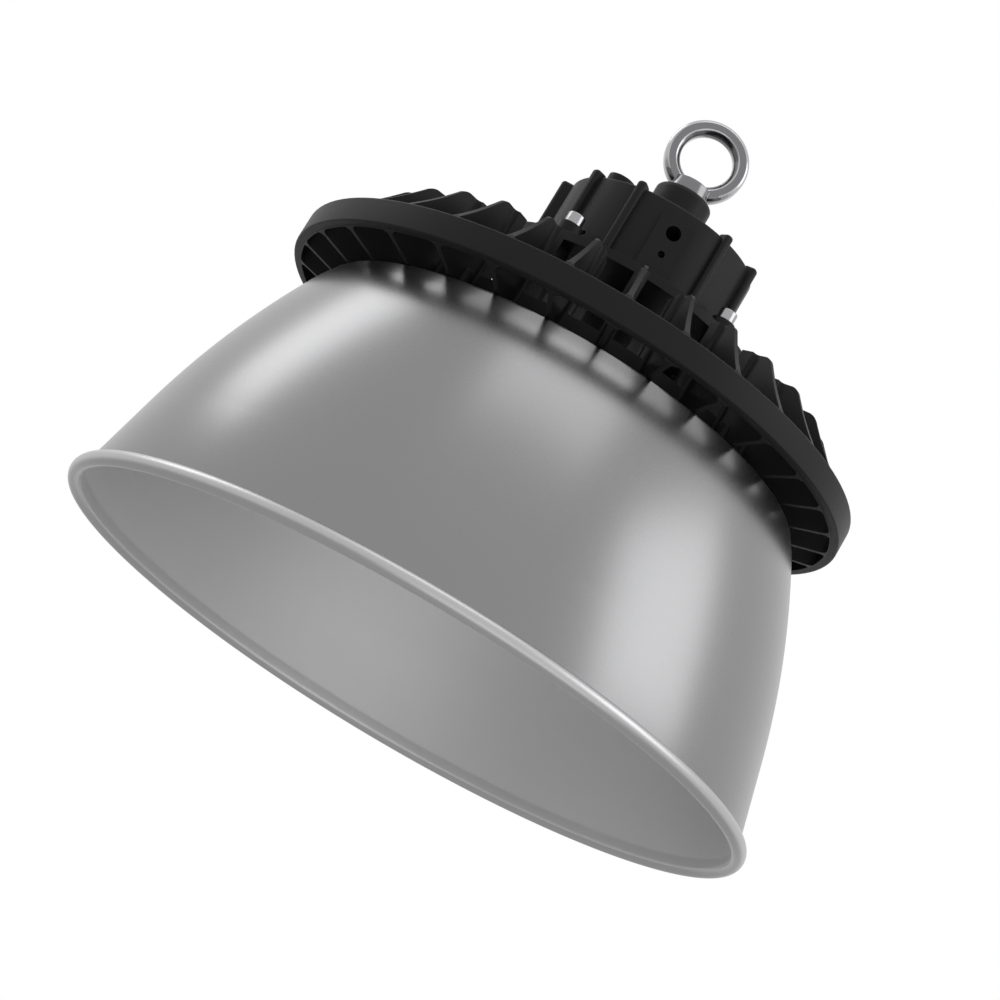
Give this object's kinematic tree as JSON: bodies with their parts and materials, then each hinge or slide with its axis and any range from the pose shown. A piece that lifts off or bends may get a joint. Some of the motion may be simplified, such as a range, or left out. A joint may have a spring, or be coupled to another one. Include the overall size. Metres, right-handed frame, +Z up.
{
  "type": "high bay light",
  "caption": "Pendant LED high bay light: deep spun aluminium shade, black die-cast heat sink with radial fins in a ring, round ribbed driver housing and steel eye bolt",
  "frame": {"origin": "centre of the shade's rim, in the plane of the rim's underside", "axes": "+Z up along the light's axis from rim to eye bolt, -Y towards the driver's panel side, +X to the right of it"},
  "size_m": [0.41, 0.4098, 0.363],
  "materials": {
    "aluminium": "spun and satin anodised aluminium",
    "black_cast": "die-cast aluminium, satin black powder coat",
    "steel": "bright zinc-plated steel",
    "board": "white solder resist on an aluminium base",
    "circuit": "green glass-fibre circuit board",
    "phosphor": "yellow phosphor in a white package",
    "clear": "clear moulded polycarbonate",
    "rubber": "grey silicone rubber",
    "plate": "zinc-plated sheet steel",
    "ferrite": "dark ferrite",
    "winding": "yellow insulating tape over copper",
    "can": "sleeved aluminium can",
    "film": "dipped film capacitor",
    "nylon": "white nylon",
    "epoxy": "black epoxy",
    "wire": "PVC insulation"
  },
  "bodies": {
    "root": {"reflector": "aluminium", "heat_sink": "black_cast", "driver_housing": "black_cast", "driver_base_plate": "plate", "driver_gasket": "rubber", "driver_screws": "steel", "eye_bolt": "steel", "eye_nut": "steel", "eye_washer": "steel", "led_board": "board", "led_chips": "phosphor", "led_connector": "nylon", "lens_cover": "clear", "lens_gasket": "rubber", "lens_ring": "plate", "lens_screws": "steel", "led_board_screws": "steel", "reflector_screws": "steel", "base_plate_screws": "steel", "driver_board": "circuit", "board_spacers": "nylon", "transformer_core": "ferrite", "transformer_bobbin": "winding", "bulk_capacitors": "can", "film_capacitor": "film", "terminal_block": "nylon", "transistor": "epoxy", "choke": "winding", "heat_spreader": "aluminium", "wire_grommet": "rubber", "led_leads": "wire"}
  },
  "joints": []
}
